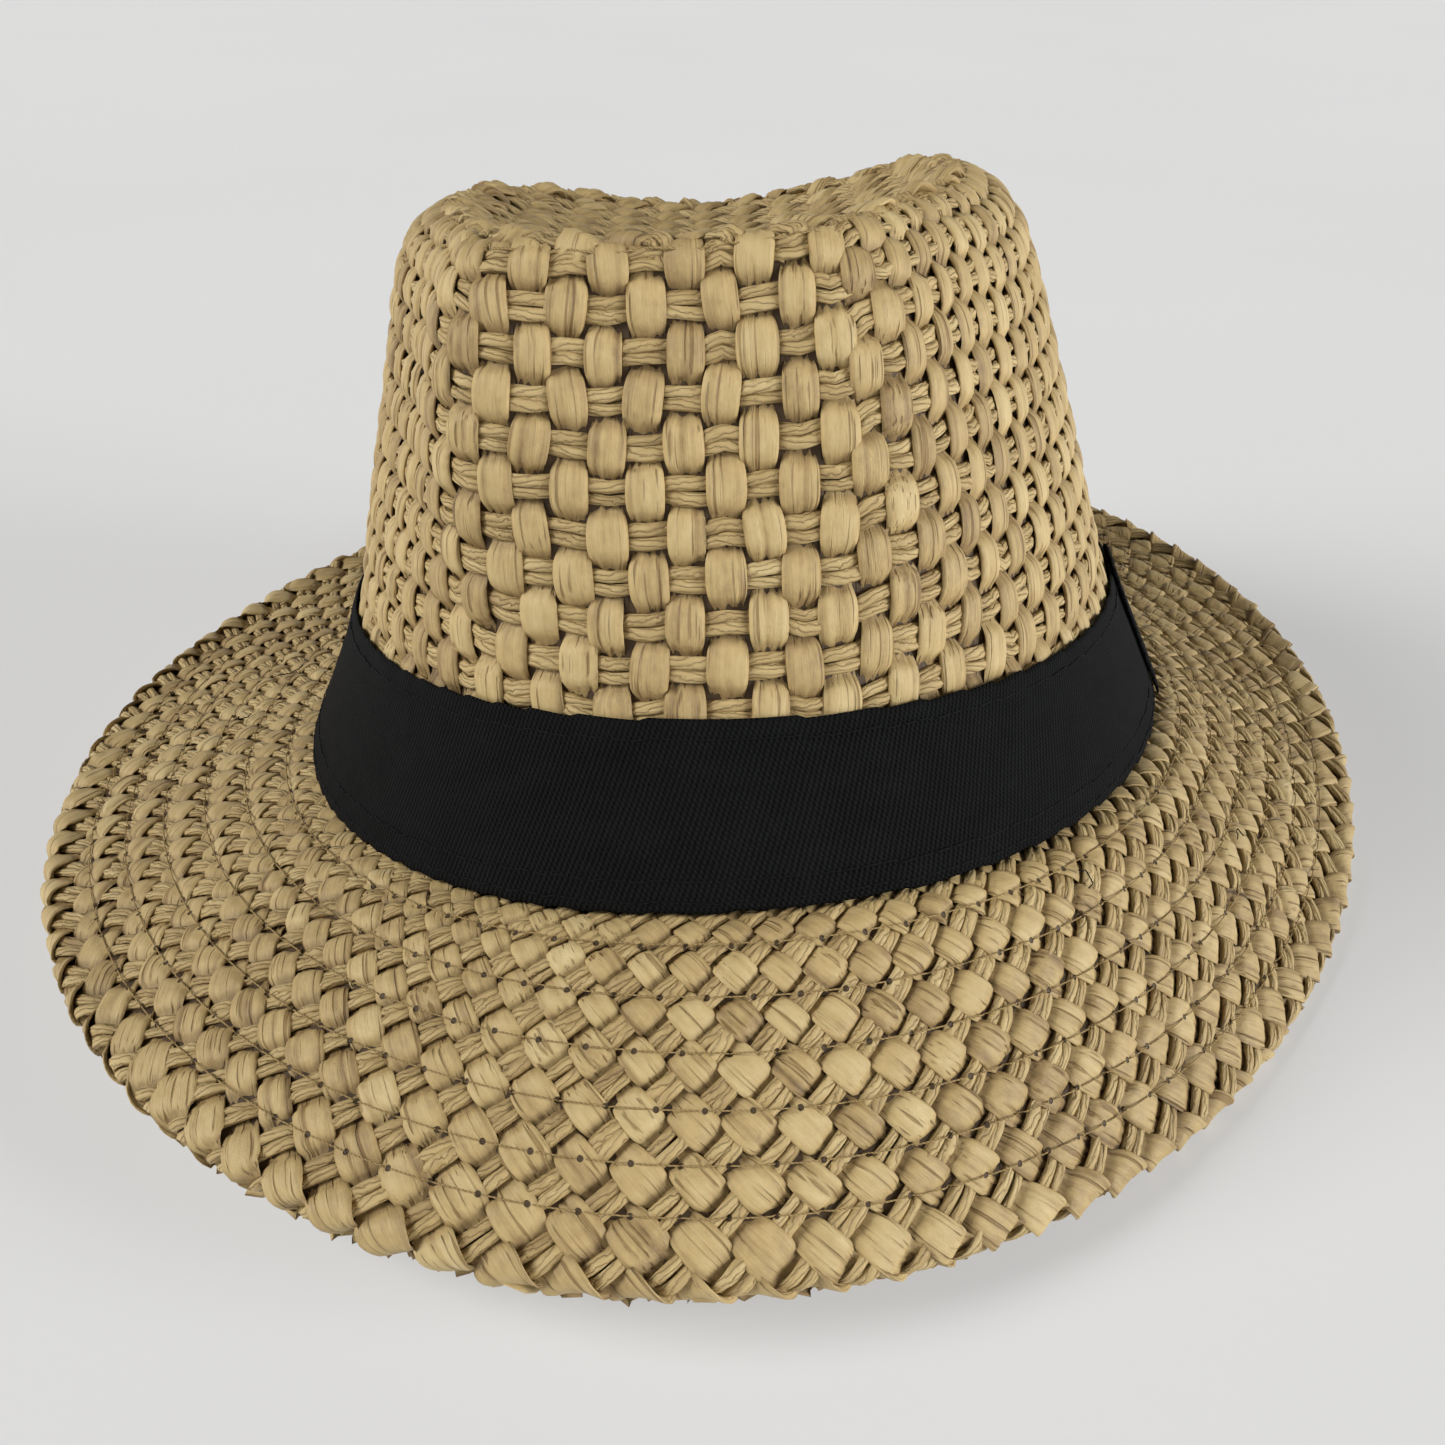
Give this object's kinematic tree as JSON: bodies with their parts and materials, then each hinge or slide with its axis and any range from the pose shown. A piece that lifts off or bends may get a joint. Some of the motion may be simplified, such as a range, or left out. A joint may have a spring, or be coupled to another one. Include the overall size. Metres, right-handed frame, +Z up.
{
  "type": "fedora hat",
  "caption": "Short-brim fedora of woven paper straw with a dented teardrop crown, stitched double brim snapped down in front, black twill band and sweatband.",
  "frame": {"origin": "middle of the bounding box's bottom face; the hat lies on this plane as it rests on a table, on the brim's edge at the front left and the back right", "axes": "+Z up, -Y the front of the hat, +Y the back, +X the wearer's left"},
  "size_m": [0.2718, 0.3018, 0.1397],
  "materials": {
    "straw": "woven paper straw, wide flat strands over pairs of narrow twisted ones, dry and slightly waxy",
    "straw_thread": "tan sewing thread",
    "binding": "thin woven binding tape",
    "interlining": "stiff woven interlining",
    "wire": "drawn spring wire",
    "ribbon": "black twill ribbon with a fine rib",
    "ribbon_thread": "black sewing thread",
    "sweatband": "black cotton sweatband with a fine rib",
    "label": "blank woven label"
  },
  "bodies": {
    "root": {"crown_side": "straw", "crown_tip": "straw", "brim_straw": "straw", "crown_tip_thread": "straw_thread", "crown_back_thread": "straw_thread", "crown_brim_thread": "straw_thread", "brim_stitching": "straw_thread", "crown_tip_tape": "binding", "brim_interlining": "interlining", "brim_wire": "wire", "brim_wire_ferrule": "wire", "hat_band": "ribbon", "band_keeper": "ribbon", "band_stitching": "ribbon_thread", "sweatband": "sweatband", "sweatband_join": "sweatband", "sweatband_stitching": "ribbon_thread", "size_label": "label"}
  },
  "joints": []
}
